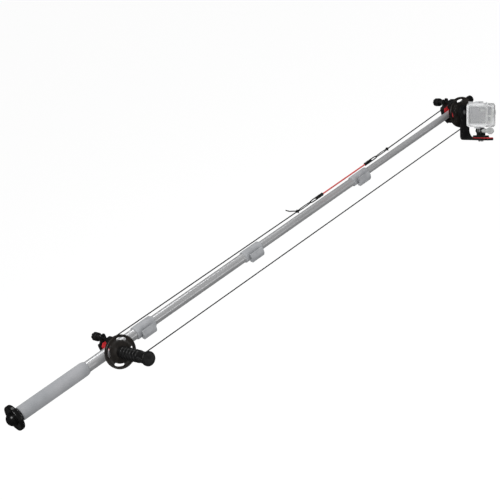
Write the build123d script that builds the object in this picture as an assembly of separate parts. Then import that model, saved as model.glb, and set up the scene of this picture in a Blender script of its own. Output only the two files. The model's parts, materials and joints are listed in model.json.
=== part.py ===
from build123d import *
import os
from math import cos, pi, radians, sin, tan

# Camera jib: a telescopic pole with a cord-driven camera bracket at its far end.  Millimetres.
# Origin: centre of the foam hand grip, on the pole's axis.  +X runs along the pole to the
# camera, +Z is up, and the wheels and handle stand out on the -Y side.

# Stations along the pole
GRIP_HALF = 90.0
BUTT_X = -97.0
NEAR_X = 160.0
WHEEL_SPAN = 1084.5
FAR_X = NEAR_X + WHEEL_SPAN
LOCK_SPANS = [(224.0, 276.0), (546.5, 599.0), (895.5, 947.0)]
TIP_X = 1318.5

# Tubes: outer radius and wall, thick to thin
TUBE_R = [12.5, 11.0, 9.5, 8.0]
TUBE_WALL = 1.0
TUBE_OVERLAP = 74.0
SLIDE_GAP = 0.05

# Wheels, measured outward along -Y from the pole's axis
WHEEL_R = 37.6
CORD_R = 1.4
CORD_RING_R = 35.4
CORD_Y = 36.0
HUB_BACK, HUB_FRONT = 27.2, 44.0
AXLE_R = 4.0
SCREW_RING_R = 10.0
SCREW_SEAT = 33.0
SLOT_RING_R = 28.7
SLOT_WIDTH = 6.2
SLOT_SPAN = 41.0
NEAR_SLOT, FAR_SLOT = 57.0, 15.0

# Handle
RIB_PITCH = 12.55
RIB_FIRST = 48.0
RIB_COUNT = 6
GRIP_FRONT = 133.0
HANDLE_END = 156.4
HANDLE_END_R = 16.2

# Clamps
JAW_HALF = 15.0
SADDLE_HALF = 9.5
LINER = 2.5
HINGE_Y, HINGE_Z = 11.0, -19.0
SCREW_Z = 27.5
SCREW_R = 3.0
NEAR_EAR_Y = 22.5
FAR_EAR_Y = 14.3
FORK_DROP = 1.2
FAR_LEAN = 12.45

# Camera bracket, in its own upright frame before it is leaned with the camera
BRACKET_LEAN = 27.1
PLATE = 5.0
PLATE_Y = 46.5
FOOT_END = 142.0
FOOT_NOTCH = 137.0
FOOT_V = -67.0
HALF_WIDTH = 13.0
MOUNT_W = -4.5
PRONG_Y = 112.0
TILT_V = -44.0
PRONG_T = 3.0
PRONG_PITCH = 6.1
CASE_Y, CASE_V, CASE_W = 71.0, 57.0, 28.0
CASE_MID_V = -6.5
CASE_CORNER = 8.0
SIDE_WALL, END_WALL, FRONT_WALL = 3.5, 5.5, 2.5
PORT_Y, PORT_V = -14.0, 6.0
SHUTTER = (-4.0, -22.0)
MODE = (22.0, 9.0)
LATCH_Y = 10.0
DOOR = 4.0

# Cord loop
KNOT_NEAR, KNOT_FAR = 705.0, 1000.0
KNOT_R = 5.0
TENSION_Z = 32.0
UPPER_CUTS = [NEAR_X, 375.0, 590.0, KNOT_NEAR - KNOT_R]
UPPER_FAR_CUTS = [KNOT_FAR + KNOT_R, 1085.0, FAR_X]
LOWER_CUTS = [NEAR_X, 500.0, 860.0, FAR_X]
ELASTIC = (786.0, 924.0)
HOOK_LENGTH = 41.0
EYE_R, WIRE_R = 1.2, 1.4
TAIL = [(700.9, -36.2, 34.9), (694.2, -36.6, 38.9), (687.4, -37.4, 42.1), (680.8, -38.6, 46.6), (675.4, -39.6, 52.0)]

os.makedirs("parts", exist_ok=True)


def save(node, shape):
    """Write one sub-part as parts/NODE.step."""
    export_step(shape, f"parts/{node}.step")


def rod_x(r, x0, x1, y=0.0, z=0.0):
    return Pos((x0 + x1) / 2, y, z) * Rot(0, 90, 0) * Cylinder(r, abs(x1 - x0))


def rod_y(r, s0, s1, x=0.0, z=0.0):
    """A round bar along Y, between s0 and s1 outward (-Y)."""
    return Pos(x, -(s0 + s1) / 2, z) * Rot(90, 0, 0) * Cylinder(r, abs(s1 - s0))


def block(x0, x1, y0, y1, z0, z1):
    centre = Pos((x0 + x1) / 2, (y0 + y1) / 2, (z0 + z1) / 2)
    return centre * Box(x1 - x0, y1 - y0, z1 - z0)


def polygon(points):
    return make_face(Polyline(*points, close=True))


def turned_x(points):
    """A solid turned about the X axis from (x, radius) points."""
    return revolve(polygon(points), axis=Axis.X)


def turned_y(points):
    """A solid turned about the Y axis from (radius, outward) points."""
    return revolve(polygon([(r, -s) for r, s in points]), axis=Axis.Y)


def slab(face, x0, x1):
    """Extrude a (y, z) face along X from x0 to x1."""
    return extrude(Plane.YZ.offset(x0) * face, amount=x1 - x0)


def wall_y(face, s0, s1):
    """Extrude an (x, z) face outward along -Y from s0 to s1."""
    return extrude(Plane.XZ.offset(s0) * face, amount=s1 - s0)


def sector(r0, r1, a0, a1):
    """A ring sector in a (y, z) sketch, angles in degrees from +Y."""
    outer = CenterArc((0, 0), r1, a0, a1 - a0)
    inner = CenterArc((0, 0), r0, a0, a1 - a0)
    return make_face([outer, inner, Line(outer @ 0, inner @ 0), Line(outer @ 1, inner @ 1)])


def disc(r, y=0.0, z=0.0):
    return Pos(y, z) * Circle(r)


# ---- pole ---------------------------------------------------------------------------


def butt_cap():
    """Mushroom end cap: glossy dome, dished disc, collar and plug."""
    dome_r = 15.5
    dome = [(-123 + dome_r * (1 - cos(a)), dome_r * sin(a)) for a in (k * pi / 16 for k in range(8))]
    rim = [(-107.0, 16.2), (-106.4, 18.5), (-106.6, 21.5), (-107.4, 25.0), (-108.8, 27.9), (-108.4, 29.2),
           (-106.8, 29.8), (-100.4, 29.8), (-98.2, 29.0), (BUTT_X, 27.0), (BUTT_X, 15.5), (-GRIP_HALF, 15.0)]
    plug_r = TUBE_R[0] - TUBE_WALL
    end = [(-GRIP_HALF, TUBE_R[0]), (BUTT_X + 1, TUBE_R[0]), (BUTT_X + 1, plug_r), (-75, plug_r), (-75, 0)]
    save("butt_cap", turned_x(dome + rim + end))


def foam_grip():
    outer, inner = 16.2, TUBE_R[0]
    end = GRIP_HALF
    points = [(-end, inner), (-end, outer - 1), (-end + 1.5, outer), (end - 9, outer),
              (end - 3, outer - 1.6), (end, outer - 2.6), (end, inner)]
    save("foam_grip", turned_x(points))


def tubes():
    starts = [BUTT_X + 1] + [(a + b) / 2 - TUBE_OVERLAP for a, b in LOCK_SPANS]
    ends = [(a + b) / 2 for a, b in LOCK_SPANS] + [TIP_X - 14.5]
    for i, r in enumerate(TUBE_R):
        tube = rod_x(r, starts[i], ends[i]) - rod_x(r - TUBE_WALL, starts[i], ends[i])
        save(f"pole_tube_{i + 1}", tube)
        if i:
            outer = TUBE_R[i - 1] - TUBE_WALL - SLIDE_GAP
            bush = rod_x(outer, starts[i] - 3, starts[i] + 17)
            bush -= rod_x(r - TUBE_WALL, starts[i] - 3, starts[i] + 17)
            save(f"tube_bush_{i + 1}", bush - rod_x(r, starts[i], starts[i] + 17))


def lock_frame():
    """Turns the upright lock to its side of the pole: halfway between -Y and -Z."""
    return Rot(135, 0, 0)


def flip_lock(i):
    """Collar with a hinge knuckle, its pin, and the lever that wraps the collar."""
    x0, x1 = LOCK_SPANS[i]
    mid = (x0 + x1) / 2
    outer_r, inner_r = TUBE_R[i], TUBE_R[i + 1]
    ring = outer_r + 2.6
    pin_z = ring + 3.5
    ear0, ear1 = x0 + 17, x1 - 18
    shell = turned_x([(x0, 0), (x0, ring - 1), (x0 + 1, ring), (x1 - 3, ring), (x1, ring - 2), (x1, 0)])
    collar = shell + slab(disc(3.2, 0, pin_z) + Pos(0, ring + 1.25) * Rectangle(6.4, 4.5), ear0, ear1)
    collar -= rod_x(outer_r, x0, mid) + rod_x(inner_r + SLIDE_GAP, mid, x1)
    collar -= rod_x(1.2, ear0, ear1, 0, pin_z)
    collar -= block(mid + 4, x1, -0.8, 0.8, -ring - 1, -inner_r + 1)
    lever0, lever1 = x0 + 8, x1 - 9
    pin = rod_x(1.2, lever0, lever1, 0, pin_z)
    save(f"lock_collar_{i + 1}", Compound([lock_frame() * collar, lock_frame() * pin]))
    plate = polygon([(0.0, pin_z + 3.6), (0.3, pin_z + 6.4), (7.5, pin_z + 6.0), (14.0, pin_z + 3.0),
                     (19.5, pin_z - 4.5), (17.5, pin_z - 7.0), (13.0, pin_z - 3.0), (5.5, pin_z + 2.4)])
    cheek = disc(3.2, 0, pin_z) + polygon([(0, pin_z), (0, pin_z + 6.3), (6.0, pin_z + 5.0), (4.0, pin_z)])
    lever = slab(plate - disc(3.6, 0, pin_z), lever0, lever1)
    for a, b in ((lever0, ear0 - 0.3), (ear1 + 0.3, lever1)):
        lever += slab(plate + cheek, a, b) - rod_x(1.27, a, b, 0, pin_z)
    save(f"lock_lever_{i + 1}", lock_frame() * lever)


def tip_cap():
    r = TUBE_R[3]
    points = [(1286, r), (1286, r + 1.2), (1287, r + 1.6), (1314, r + 1.6), (1317.3, r + 0.4),
              (TIP_X, 6.0), (TIP_X, 0), (TIP_X - 14.5, 0), (TIP_X - 14.5, r)]
    save("tip_cap", turned_x(points))


# ---- pole clamps ---------------------------------------------------------------------


def clamp_body():
    """Saddle block on the wheel's side, with hinge knuckles below and a screw ear above."""
    profile = sector(15.0, 22.0, 105, 285)
    profile += Pos(-20, 6) * Rectangle(8, 56)
    profile += Pos(-17, 27.5) * Rectangle(13, 13)
    web = polygon([(5.4, -20.3), (3.8, -14.6), (9.0, -16.0), (HINGE_Y, HINGE_Z)])
    body = slab(profile - disc(15.0), -SADDLE_HALF, SADDLE_HALF)
    body += slab(sector(15.0, 22.0, 215, 285) + web - disc(15.0), -JAW_HALF, JAW_HALF)
    for a, b in ((-JAW_HALF, -8.2), (8.2, JAW_HALF)):
        body += slab(disc(4.2, HINGE_Y, HINGE_Z), a, b)
    body -= slab(disc(4.7, HINGE_Y, HINGE_Z), -8.2, 8.2)
    body += rod_y(11.0, 23.0, HUB_BACK - 0.2)
    body -= rod_x(1.75, -JAW_HALF, JAW_HALF, HINGE_Y, HINGE_Z)
    body -= rod_y(SCREW_R + 0.05, 10.0, 25.0, 0, SCREW_Z)
    body -= rod_y(AXLE_R, 18.0, HUB_BACK)
    for side in (-1, 1):
        corner = Pos(side * SADDLE_HALF, -20, 34) * Rot(0, 45, 0) * Box(7, 20, 7)
        body -= corner
    return body


def body_liner(tube_r):
    """Red rubber pad between the saddle and the tube."""
    return slab(sector(tube_r, 15.0, 115, 265), -SADDLE_HALF, SADDLE_HALF)


def clamp_jaw():
    """Swing jaw: knuckle at the bottom, wall behind the pole, tapered ear with an open fork."""
    profile = sector(15.0, 25.5, -54, 0)
    profile += polygon([(15.0, 0), (25.5, 0), (25.5, 13.0), (22.5, 20.0), (22.5, 24.0), (15.0, 24.0)])
    ear = Pos(18.75, 27) * Rectangle(7.5, 14)
    jaw = slab(profile, -JAW_HALF, JAW_HALF) + slab(ear, -8, 8)
    for side in (-1, 1):
        corner = Pos(side * JAW_HALF, 18.75, 24) * Rot(0, 45, 0) * Box(12, 8.2, 12)
        jaw -= corner
    for a, b in ((-JAW_HALF - 1, -8), (8, JAW_HALF + 1)):
        jaw -= slab(disc(4.7, HINGE_Y, HINGE_Z), a, b)
    jaw += slab(disc(4.2, HINGE_Y, HINGE_Z), -8, 8)
    jaw -= rod_x(1.8, -8, 8, HINGE_Y, HINGE_Z)
    fork_z = SCREW_Z - FORK_DROP
    jaw -= rod_y(3.5, -24, -14, 0, fork_z) + block(-3.5, 3.5, 14, 24, fork_z, 35)
    return jaw


def jaw_liner():
    gap = 0.15
    face = sector(12.5 + gap, 15.0, -48, 0) + Pos(13.75 + gap / 2, 9.5) * Rectangle(2.5 - gap, 19)
    liner = slab(face, -12, 12)
    for side in (-1, 1):
        liner -= Pos(side * 12, 13.75, 20) * Rot(0, 45, 0) * Box(9, 8, 9)
    return liner


def knob(washer_y):
    """Lobed clamp knob moulded on its screw, as (washer, knob) in front of the jaw's ear."""
    front = washer_y + 1.5
    washer = rod_y(7.0, -front, -washer_y, 0, SCREW_Z) - rod_y(SCREW_R + 0.1, -front, -washer_y, 0, SCREW_Z)
    neck_end = front + 11.5
    end = neck_end + 17.5
    head = rod_y(5.2, -neck_end, -front - 0.1, 0, SCREW_Z)
    head += turned_y([(0, -neck_end), (8.8, -neck_end), (9.8, -neck_end - 1.2), (9.8, -end + 2.0),
                      (8.2, -end), (0, -end)]).moved(Pos(0, 0, SCREW_Z))
    for k in range(8):
        a = k * pi / 4
        head -= rod_y(1.5, -end - 1, -neck_end + 1, 10.5 * cos(a), SCREW_Z + 10.5 * sin(a))
    stud = rod_y(SCREW_R, 22.0, -front - 0.1, 0, SCREW_Z)
    return washer, head + stud


def clamp(name, x, tube_r, ear_y, lean):
    """One whole pole clamp at station x; the jaw leans in on a thin tube."""
    place = Pos(x, 0, 0)
    swing = place * Pos(0, HINGE_Y, HINGE_Z) * Rot(lean, 0, 0) * Pos(0, -HINGE_Y, -HINGE_Z)
    pin = rod_x(1.75, -JAW_HALF, JAW_HALF, HINGE_Y, HINGE_Z)
    save(f"{name}_clamp_body", Compound([place * clamp_body(), place * pin]))
    save(f"{name}_clamp_pad", place * body_liner(tube_r))
    save(f"{name}_clamp_jaw", swing * clamp_jaw())
    save(f"{name}_jaw_pad", swing * jaw_liner())
    washer, head = knob(ear_y + 0.2)
    save(f"{name}_clamp_washer", place * washer)
    save(f"{name}_clamp_knob", place * head)
    axle = rod_y(AXLE_R, 18.0, HUB_FRONT + 0.2) + rod_y(7.0, HUB_FRONT + 0.2, HUB_FRONT + 2.2)
    axle -= wall_y(RegularPolygon(2.5, 6), HUB_FRONT + 0.8, HUB_FRONT + 2.2)
    save(f"{name}_axle", place * axle)


# ---- wheels --------------------------------------------------------------------------


def wheel_body(slot_middle):
    """Grooved cord wheel with a dished, domed front and four kidney slots."""
    floor = CORD_RING_R - CORD_R - 0.15
    bore = AXLE_R + SLIDE_GAP
    points = [
        (bore, HUB_BACK), (14.0, HUB_BACK), (14.0, 34.2), (30.5, 34.2), (33.0, 32.6), (37.0, 32.6),
        (37.2, 33.6), (floor, CORD_Y - 1.6), (floor, CORD_Y + 1.6), (WHEEL_R, 38.0), (WHEEL_R, 39.2),
        (36.9, 40.0), (34.0, 39.8), (31.5, 38.6), (24.0, 38.9), (18.5, 41.0), (15.5, 42.9),
        (13.5, HUB_FRONT), (bore, HUB_FRONT),
    ]
    wheel = turned_y(points)
    for k in range(4):
        arc = CenterArc((0, 0), SLOT_RING_R, slot_middle - SLOT_SPAN / 2 + 90 * k, SLOT_SPAN)
        wheel -= wall_y(SlotArc(arc, SLOT_WIDTH), 30, 45)
    for x, z in screw_spots():
        wheel -= rod_y(1.5, 30, 45, x, z) + rod_y(2.6, HUB_BACK, SCREW_SEAT, x, z)
    return wheel


def screw_spots():
    """(x, z) of the three screws that hold the wheel to the part in front of it."""
    angles = [radians(90 + 120 * k) for k in range(3)]
    return [(SCREW_RING_R * cos(a), SCREW_RING_R * sin(a)) for a in angles]


def screws(tip):
    """Three small screws from the back of the wheel into the part in front of it."""
    return Compound([rod_y(1.5, SCREW_SEAT, tip, x, z) + rod_y(2.6, SCREW_SEAT - 1.8, SCREW_SEAT, x, z)
                     for x, z in screw_spots()])


def control_wheel():
    place = Pos(NEAR_X, 0, 0)
    save("control_wheel", place * wheel_body(NEAR_SLOT))
    save("handle_screws", place * screws(46.8))
    core_end = 148.0
    core = rod_y(13.0, HUB_FRONT, HUB_FRONT + 3) + rod_y(9.0, HUB_FRONT, core_end)
    core -= rod_y(7.6, HUB_FRONT, HUB_FRONT + 4.5) + rod_y(6.0, HUB_FRONT, core_end - 4)
    for x, z in screw_spots():
        core -= rod_y(1.5, HUB_FRONT, 46.8, x, z)
    save("handle_core", place * core)
    back = HUB_FRONT + 3
    outline = [(9.0, back), (12.6, back)]
    for k in range(RIB_COUNT):
        s = RIB_FIRST + 2 + k * RIB_PITCH
        outline += [(13.7, s), (14.0, s + 1.6), (14.0, s + 5.6), (13.7, s + 7.2), (12.2, s + 8.4),
                    (12.2, s + RIB_PITCH - 1.2)]
    end = HANDLE_END
    outline += [(12.8, RIB_FIRST + 2 + RIB_COUNT * RIB_PITCH), (12.8, GRIP_FRONT), (13.2, 140),
                (14.3, 147), (15.4, 150.5), (HANDLE_END_R, 152.5), (HANDLE_END_R, end - 1.2),
                (HANDLE_END_R - 1.2, end), (0, end), (0, core_end), (9.0, core_end)]
    save("handle_grip", place * turned_y(outline))


# ---- camera end ----------------------------------------------------------------------


def lean():
    """Places a piece of the upright camera assembly on the far wheel."""
    return Pos(FAR_X, 0, 0) * Rot(0, BRACKET_LEAN, 0)


def bracket():
    """Bent plate: upright leg on the wheel's hub, big bend, long foot under the camera."""
    s0, s1 = PLATE_Y, PLATE_Y + PLATE
    v0, v1 = FOOT_V, FOOT_V + PLATE
    bend_out, bend_in = 9.0, 20.0
    outer = [(-s0, 0), (-s0, v0 + bend_out)]
    arc = ThreePointArc((-s0, v0 + bend_out), (-s0 - bend_out * 0.293, v0 + bend_out * 0.293),
                        (-s0 - bend_out, v0))
    inner = ThreePointArc((-s1 - bend_in, v1), (-s1 - bend_in * 0.293, v1 + bend_in * 0.293),
                          (-s1, v1 + bend_in))
    edges = [Line(*outer), arc, Line(arc @ 1, (-FOOT_END, v0)), Line((-FOOT_END, v0), (-FOOT_END, v1)),
             Line((-FOOT_END, v1), inner @ 0), inner, Line(inner @ 1, (-s1, 0)), Line((-s1, 0), (-s0, 0))]
    body = slab(make_face(edges), -HALF_WIDTH, HALF_WIDTH)
    top = wall_y(Pos(0, -2) * Circle(19.5), s0, s1)
    body += top + wall_y(Pos(0, -14) * Rectangle(2 * HALF_WIDTH, 30), s0, s1)
    body += rod_y(13.5, HUB_FRONT, s0)
    body -= rod_y(7.6, HUB_FRONT, s1)
    for x, z in screw_spots():
        body -= rod_y(1.5, HUB_FRONT, 50, x, z)
    body = fillet(body.edges().filter_by(Axis.Z).sort_by(Axis.Y)[:2], 9.0)
    body -= foot_notch(v0 + PLATE / 2, PLATE + 2)
    return body - Pos(MOUNT_W, -PRONG_Y, v0) * Cylinder(3.3, 30)


def foot_notch(v, height):
    """The open slot in the foot's near edge."""
    return Pos(-HALF_WIDTH, -FOOT_NOTCH, v) * Box(28, 4.4, height)


def camera_mount():
    """Everything fixed to the far wheel under the camera."""
    place = lean()
    save("camera_wheel", place * wheel_body(FAR_SLOT))
    save("bracket_screws", place * screws(49.8))
    save("camera_bracket", place * bracket())
    pad0 = FOOT_V + PLATE
    pad = Pos(0, -114.5, pad0 + 0.9) * extrude(RectangleRounded(24, 54, 7), amount=0.9, both=True)
    pad -= Pos(MOUNT_W, -PRONG_Y, pad0) * Cylinder(3.3, 8) + foot_notch(pad0, 8)
    save("foot_pad", place * pad)
    base0 = pad0 + 1.8
    base = Pos(MOUNT_W, -PRONG_Y, base0) * extrude(RectangleRounded(18, 44, 4), amount=5, taper=12)
    mount = base
    for k in (-1, 0, 1):
        s = PRONG_Y + k * PRONG_PITCH
        leaf = Circle(7.4) + Pos(0, (base0 - TILT_V) / 2) * Rectangle(14.8, TILT_V - base0)
        mount += wall_y(Pos(MOUNT_W, TILT_V) * leaf, s - PRONG_T / 2, s + PRONG_T / 2)
    nut_s = PRONG_Y - PRONG_PITCH - PRONG_T / 2
    mount += rod_y(6.6, nut_s - 4.5, nut_s, MOUNT_W, TILT_V)
    mount -= wall_y(Pos(MOUNT_W, TILT_V) * RegularPolygon(4.6, 6), nut_s - 4.5, nut_s)
    mount -= rod_y(2.6, 90, 130, MOUNT_W, TILT_V)
    mount -= Pos(MOUNT_W, -PRONG_Y, base0) * Cylinder(2.5, 8)
    save("three_prong_mount", place * mount)
    nut = wall_y(Pos(MOUNT_W, TILT_V) * RegularPolygon(4.6, 6), nut_s - 4.2, nut_s - 0.2)
    save("hinge_nut", place * (nut - rod_y(2.6, 90, 130, MOUNT_W, TILT_V)))
    screw = Pos(0, 0, FOOT_V + 4.9) * Cylinder(2.5, 11.4) + Pos(0, 0, FOOT_V - 1.4) * Cylinder(6.0, 2.8)
    screw = Pos(MOUNT_W, -PRONG_Y, 0) * screw
    save("mount_screw", place * screw)


def thumb_screw():
    """Cross bolt with a winged thumb knob on the outboard side."""
    front = PRONG_Y + PRONG_PITCH + PRONG_T / 2 + 0.3
    bolt = rod_y(2.5, PRONG_Y - 12.5, front + 4)
    head = rod_y(5.2, front, front + 10) + rod_y(3.6, front + 10, front + 30)
    wing = polygon([(-front - 10, -3.4), (-front - 23, -8.4), (-front - 28, -8.2), (-front - 36, -2.6),
                    (-front - 36, 2.6), (-front - 28, 8.2), (-front - 23, 8.4), (-front - 10, 3.4)])
    head += slab(wing, -2.0, 2.0)
    save("thumb_screw", lean() * Pos(MOUNT_W, 0, TILT_V) * (bolt + head))


def rounded_box(sy, sv, sw, r):
    """A box centred on its middle, rounded along W: Y wide, V high, W deep."""
    return extrude(Plane.YZ.offset(-sw / 2) * RectangleRounded(sy, sv, r), amount=sw)


def camera_case():
    """Clear housing: shell with lens port and two prongs, hinged back door, latch and buttons."""
    place = lean() * Pos(MOUNT_W, -PRONG_Y, CASE_MID_V)
    half, top = CASE_W / 2, CASE_V / 2
    depth = CASE_W - DOOR
    shell = Pos(DOOR / 2, 0, 0) * rounded_box(CASE_Y, CASE_V, depth, CASE_CORNER)
    cavity = rounded_box(CASE_Y - 2 * SIDE_WALL, CASE_V - 2 * END_WALL, depth, CASE_CORNER - SIDE_WALL)
    shell -= Pos(DOOR / 2 - FRONT_WALL, 0, 0) * cavity
    shell += rod_x(14.5, half - 0.5, half + 8, PORT_Y, PORT_V)
    shell -= rod_x(12.5, half - FRONT_WALL - 1, half + 6, PORT_Y, PORT_V)
    shell -= rod_x(11.0, half + 5, half + 9, PORT_Y, PORT_V)
    shell -= Pos(*SHUTTER, top) * Cylinder(3.1, 13)
    shell -= rod_x(3.1, half - 4, half + 6, *MODE)
    tilt_v = TILT_V - CASE_MID_V
    for k in (-0.5, 0.5):
        s = k * PRONG_PITCH
        leaf = Pos(0, tilt_v) * Circle(7.2) + Pos(0, tilt_v + 5) * Rectangle(14.4, 10)
        shell += wall_y(leaf, s - PRONG_T / 2 + 0.05, s + PRONG_T / 2 - 0.05)
    shell -= rod_y(2.6, -20, 20, 0, tilt_v)
    save("case_shell", place * shell)
    save("case_lens_window", place * rod_x(12.5, half + 4.0, half + 6.0, PORT_Y, PORT_V))
    save("shutter_button", place * (Pos(*SHUTTER, top - 1.5) * Cylinder(3.0, 8.0)))
    save("mode_button", place * rod_x(3.0, half - 2.6, half + 2, *MODE))


def case_door():
    """Back door with its hinge pin, and the latch that pivots on top of it."""
    place = lean() * Pos(MOUNT_W, -PRONG_Y, CASE_MID_V)
    half, top = CASE_W / 2, CASE_V / 2
    door = Pos(-half + DOOR / 2 - 0.1, 0, 0) * rounded_box(CASE_Y, CASE_V, DOOR - 0.2, CASE_CORNER)
    door -= Pos(-half, 0, 0) * rounded_box(CASE_Y - 13, CASE_V - 13, 4.0, CASE_CORNER - 3)
    hinge_w, hinge_v = -half + 2.0, -top - 1.6
    door += rod_y(1.9, -9, 9, hinge_w, hinge_v) + Pos(hinge_w, 0, hinge_v + 1.4) * Box(2.6, 18, 2.8)
    door -= rod_y(0.8, -40, 40, hinge_w, hinge_v)
    pivot_w, pivot_v = -half + 1.8, top + 2.0
    for side in (-1, 1):
        door += Pos(pivot_w, LATCH_Y + side * 17.0, top) * Box(3.2, 3.0, 7.6)
    door -= rod_y(1.0, -LATCH_Y - 30, -LATCH_Y + 30, pivot_w, pivot_v)
    pin = rod_y(0.8, -12, 12, hinge_w, hinge_v)
    save("case_door", Compound([place * door, place * pin]))
    latch = Pos(pivot_w + 8.2, LATCH_Y, pivot_v) * Box(16.0, 30.0, 2.8) + rod_y(1.4, -LATCH_Y - 15, -LATCH_Y + 15, pivot_w, pivot_v)
    latch += rod_y(0.95, -LATCH_Y - 18, -LATCH_Y + 18, pivot_w, pivot_v)
    latch += Pos(pivot_w + 15.4, LATCH_Y, pivot_v + 1.6) * Box(1.6, 26.0, 1.6)
    save("case_latch", place * latch)


def camera():
    place = lean() * Pos(MOUNT_W, -PRONG_Y, CASE_MID_V)
    body = fillet(rounded_box(59, 41, 18.8, 4).edges().filter_by(GeomType.CIRCLE), 0.8)
    save("camera_body", place * (Pos(0.2, 0, 0) * body))
    save("camera_lens", place * rod_x(11.5, 9.6, 17.4, PORT_Y, PORT_V))


# ---- cord loop -----------------------------------------------------------------------


def line_z(x):
    """Height of the upper run, which dips a little under the tensioner's weight."""
    if x < KNOT_NEAR:
        return CORD_RING_R + (TENSION_Z - CORD_RING_R) * (x - NEAR_X) / (KNOT_NEAR - NEAR_X)
    return CORD_RING_R + (TENSION_Z - CORD_RING_R) * (FAR_X - x) / (FAR_X - KNOT_FAR)


def upper(x0, x1):
    start, end = Vector(x0, -CORD_Y, line_z(x0)), Vector(x1, -CORD_Y, line_z(x1))
    bar = Cylinder(CORD_R, (end - start).length, align=(Align.CENTER, Align.CENTER, Align.MIN))
    return Plane(origin=start, z_dir=end - start) * bar


def lower(x0, x1):
    return rod_x(CORD_R, x0, x1, -CORD_Y, -CORD_RING_R)


def wheel_turn(x, start):
    """Half a turn of cord in a wheel's groove, from start degrees."""
    path = Plane.XZ.offset(CORD_Y) * CenterArc((0, 0), CORD_RING_R, start, 180)
    ring = sweep(Plane(origin=path @ 0, z_dir=path % 0) * Circle(CORD_R), path=path)
    return Pos(x, 0, 0) * ring


def flat_ring(x0, x1, width, radius, plane):
    """A closed loop of round section between x0 and x1 at the tensioner's height."""
    outline = Wire(SlotOverall(x1 - x0, width).edges())
    path = plane * Pos((x0 + x1) / 2, 0) * outline
    return sweep(Plane(origin=path @ 0, z_dir=path % 0) * Circle(radius), path=path)


def tensioner():
    """Knots, cord eyes, wire hooks with crimped barrels, and the elastic between them."""
    middle = (0, -CORD_Y, TENSION_Z)
    eye_plane = Plane(origin=middle, x_dir=(1, 0, 0), z_dir=(0, 0.866, 0.5))
    hook_plane = Plane(origin=middle, x_dir=(1, 0, 0), z_dir=(0, -0.5, 0.866))
    knots = [Pos(x, -CORD_Y, TENSION_Z) * Sphere(KNOT_R) for x in (KNOT_NEAR, KNOT_FAR)]
    save("cord_knots", Compound(knots))
    links = (ELASTIC[0] - HOOK_LENGTH, ELASTIC[1] + HOOK_LENGTH)
    eyes = [flat_ring(KNOT_NEAR + 3, links[0] + 4, 6.4, EYE_R, eye_plane),
            flat_ring(links[1] - 4, KNOT_FAR - 3, 6.4, EYE_R, eye_plane)]
    save("cord_eyes", Compound(eyes))
    hooks = []
    for x, way in ((ELASTIC[0], -1), (ELASTIC[1], 1)):
        barrel = fillet(rod_x(3.9, *sorted((x, x + way * 22)), -CORD_Y, TENSION_Z).edges(), 0.9)
        wire = flat_ring(*sorted((x + way * 16, x + way * HOOK_LENGTH)), 6.2, WIRE_R, hook_plane)
        hooks += [barrel, wire - barrel]
    save("elastic_hooks", Compound([solid for hook in hooks for solid in hook.solids()]))
    save("elastic", rod_x(1.8, *ELASTIC, -CORD_Y, TENSION_Z))


def cord_tail():
    """The short free end that stands off the first knot."""
    points = [Vector(*p) for p in TAIL]
    runs = [b - a for a, b in zip(points, points[1:])]
    radii = []
    for a, b in zip(runs, runs[1:]):
        turn = radians(a.get_angle(b))
        radii.append(0.45 * min(a.length, b.length) / tan(turn / 2))
    print("cord tail radii", [round(r, 1) for r in radii])
    path = FilletPolyline(*TAIL, radius=radii)
    tail = sweep(Plane(origin=path @ 0, z_dir=path % 0) * Circle(CORD_R), path=path)
    print("cord tail length", round(path.length, 1), "volume ratio", round(tail.volume / (pi * CORD_R**2 * path.length), 3))
    save("cord_tail", tail)


def cord_runs():
    """Each node holds the stretches that lie between the same two bodies."""
    near = [wheel_turn(NEAR_X, 90), upper(*UPPER_CUTS[0:2]), lower(*LOWER_CUTS[0:2])]
    save("cord_span_1", Compound(near))
    save("cord_span_2", Compound([upper(*UPPER_CUTS[1:3]), lower(*LOWER_CUTS[1:3])]))
    save("cord_span_3", Compound([upper(*UPPER_CUTS[2:4]), upper(*UPPER_FAR_CUTS[0:2])]))
    far = [upper(*UPPER_FAR_CUTS[1:3]), lower(*LOWER_CUTS[2:4]), wheel_turn(FAR_X, -90)]
    save("cord_span_4", Compound(far))


butt_cap()
foam_grip()
tubes()
for lock in range(3):
    flip_lock(lock)
tip_cap()
clamp("near", NEAR_X, TUBE_R[0], NEAR_EAR_Y, 0.0)
clamp("far", FAR_X, TUBE_R[3], FAR_EAR_Y, FAR_LEAN)
control_wheel()
camera_mount()
thumb_screw()
camera_case()
case_door()
camera()
cord_runs()
tensioner()
cord_tail()
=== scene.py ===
# %% [markdown]
# # A camera jib on a telescopic pole
#
# A telescopic pole holds a small action camera at arm's length.  A wheel by the foam grip and a wheel
# at the far end are joined by one loop of cord, so turning the ribbed handle tilts the camera.
#
# The moving parts already exist as a plain engineering model.  This lesson dresses it: it loads that
# model as a fixed frame, gives every part a finish, and makes again, with softer and finer surfaces,
# the parts that a plain model can't show: cord, knots, rubber, foam, mouldings and clear plastic.

# %% Load the frame
import bmesh
import bpy
import json
import numpy as np
from math import radians, tau
from mathutils import Matrix, Vector


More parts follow.
